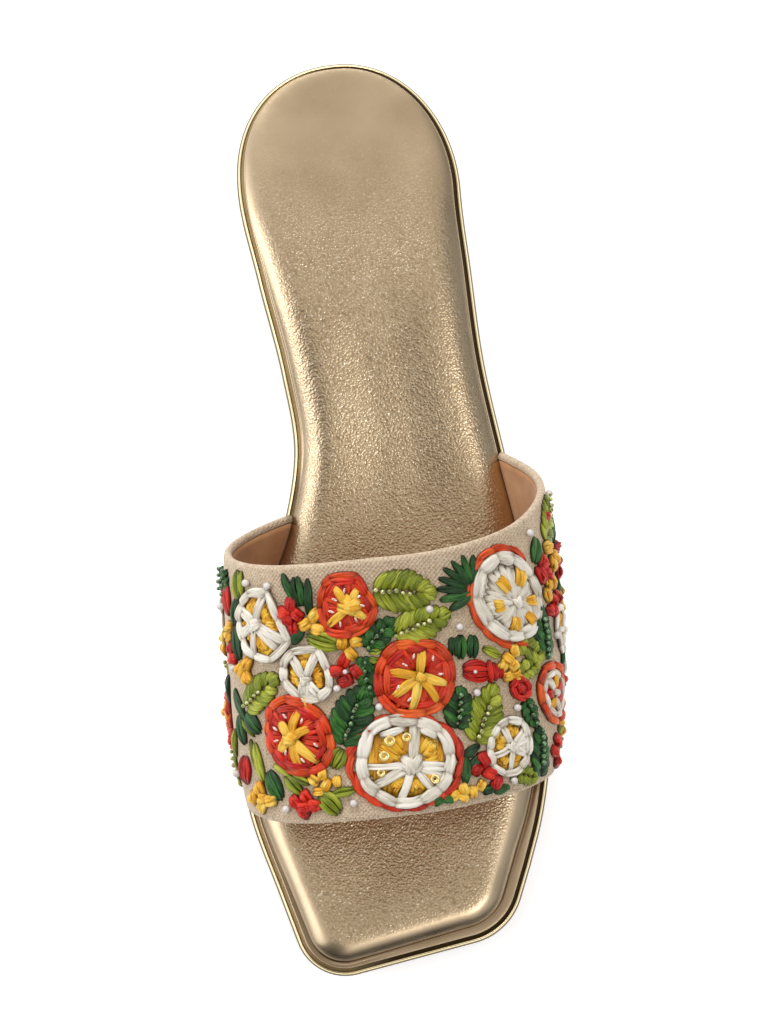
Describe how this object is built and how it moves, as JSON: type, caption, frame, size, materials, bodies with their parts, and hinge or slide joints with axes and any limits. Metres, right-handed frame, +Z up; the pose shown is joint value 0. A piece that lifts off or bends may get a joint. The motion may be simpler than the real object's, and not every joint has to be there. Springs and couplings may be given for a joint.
{
  "type": "slide sandal",
  "caption": "Flat left-foot slide sandal with one wide closed strap, padded footbed, square asymmetric toe and low heel.",
  "frame": {"origin": "centre of the bounding box's base, on the floor under the middle of the sole", "axes": "+Z up, +Y from the toe towards the heel, +X towards the outer (lateral) side of the left foot"},
  "size_m": [0.0908, 0.2524, 0.0659],
  "materials": {
    "outsole": "matt dark brown sole rubber with a fine grain",
    "midsole": "polished gold foil on the rounded rim",
    "heel": "gold foil over a moulded low block",
    "footbed": "finely grained metallic gold leather over padding",
    "upper": "beige linen outside with raffia embroidery, brown suede lining inside"
  },
  "bodies": {
    "root": {"outsole": "outsole", "midsole": "midsole", "heel": "heel", "footbed": "footbed", "upper": "upper"}
  },
  "joints": []
}
